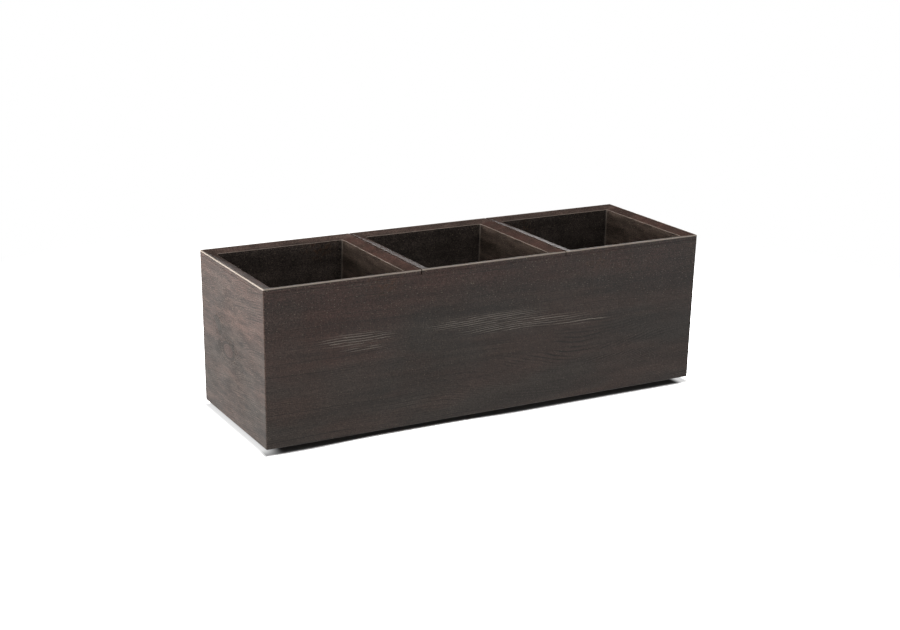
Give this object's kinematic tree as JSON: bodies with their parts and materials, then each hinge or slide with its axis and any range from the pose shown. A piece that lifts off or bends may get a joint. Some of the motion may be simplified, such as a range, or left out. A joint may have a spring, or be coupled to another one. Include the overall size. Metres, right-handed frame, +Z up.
{
  "type": "planter",
  "caption": "Long low planter with square cells in a row: a grained outer case on small feet, with planting inserts that hang by broad sloping rims and lift straight out.",
  "frame": {"origin": "on the ground under the middle of the planter, at the bottom centre of its bounding box", "axes": "+X along the length, towards the right-hand cell seen from the front; the front faces -Y; +Z up"},
  "size_m": [0.8, 0.265, 0.265],
  "materials": {
    "case_composite": "dark brown wood-fibre composite with an embossed wood grain and fine pale specks, satin",
    "insert_composite": "dark brown wood-fibre composite with fine pale specks, smooth, satin",
    "foot_plastic": "black, matt"
  },
  "bodies": {
    "planter_case": {"outer_case": "case_composite", "foot_front_left": "foot_plastic", "foot_front_middle": "foot_plastic", "foot_front_right": "foot_plastic", "foot_back_left": "foot_plastic", "foot_back_middle": "foot_plastic", "foot_back_right": "foot_plastic"},
    "left_insert": {"insert_left": "insert_composite"},
    "middle_insert": {"insert_middle": "insert_composite"},
    "right_insert": {"insert_right": "insert_composite"}
  },
  "joints": [
    {"name": "lift_left_insert", "type": "slide", "parent": "planter_case", "child": "left_insert", "axis": [0, 0, 1], "range_m": [0, 0.26]},
    {"name": "lift_middle_insert", "type": "slide", "parent": "planter_case", "child": "middle_insert", "axis": [0, 0, 1], "range_m": [0, 0.26]},
    {"name": "lift_right_insert", "type": "slide", "parent": "planter_case", "child": "right_insert", "axis": [0, 0, 1], "range_m": [0, 0.26]}
  ]
}
